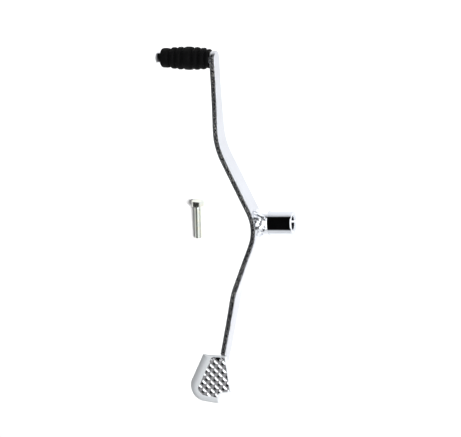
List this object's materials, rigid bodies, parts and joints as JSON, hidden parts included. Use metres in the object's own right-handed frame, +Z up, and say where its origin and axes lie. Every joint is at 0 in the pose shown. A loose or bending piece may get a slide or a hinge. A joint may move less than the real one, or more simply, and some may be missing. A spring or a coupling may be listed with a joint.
{
  "type": "gear shift lever",
  "caption": "Chromed heel-and-toe gear shift lever: bent flat bar, split serrated clamp hub, ribbed toe rubber, studded heel pad, loose pinch bolt.",
  "frame": {"origin": "middle of the clamp hub's open end, on the bore's axis", "axes": "+X along the bore out of the open end, inboard; +Y along the lever towards the toe end; +Z up out of the heel tread"},
  "size_m": [0.1123, 0.3133, 0.0268],
  "materials": {
    "chromed_bar": "bright chrome over sheared bar",
    "chromed_hub": "bright chrome over turned steel",
    "chromed_weld": "chrome over weld metal",
    "chromed_pad": "chrome over pressed sheet",
    "black_rubber": "matt moulded rubber",
    "zinc_plate": "zinc plated"
  },
  "bodies": {
    "lever": {"lever_arm": "chromed_bar", "clamp_hub": "chromed_hub", "hub_weld": "chromed_weld", "toe_peg": "chromed_hub", "peg_weld": "chromed_weld", "heel_pad": "chromed_pad", "pad_weld_inboard": "chromed_weld", "pad_weld_outboard": "chromed_weld"},
    "rubber": {"toe_rubber": "black_rubber"},
    "bolt": {"pinch_bolt": "zinc_plate"}
  },
  "joints": [
    {"name": "rubber_pull_off", "type": "slide", "parent": "lever", "child": "rubber", "axis": [-0.9983, 0.0576, 0], "range_m": [0, 0.055]},
    {"name": "bolt_pick_up", "type": "slide", "parent": "lever", "child": "bolt", "axis": [0, 0, 1], "range_m": [0, 0.06]}
  ]
}
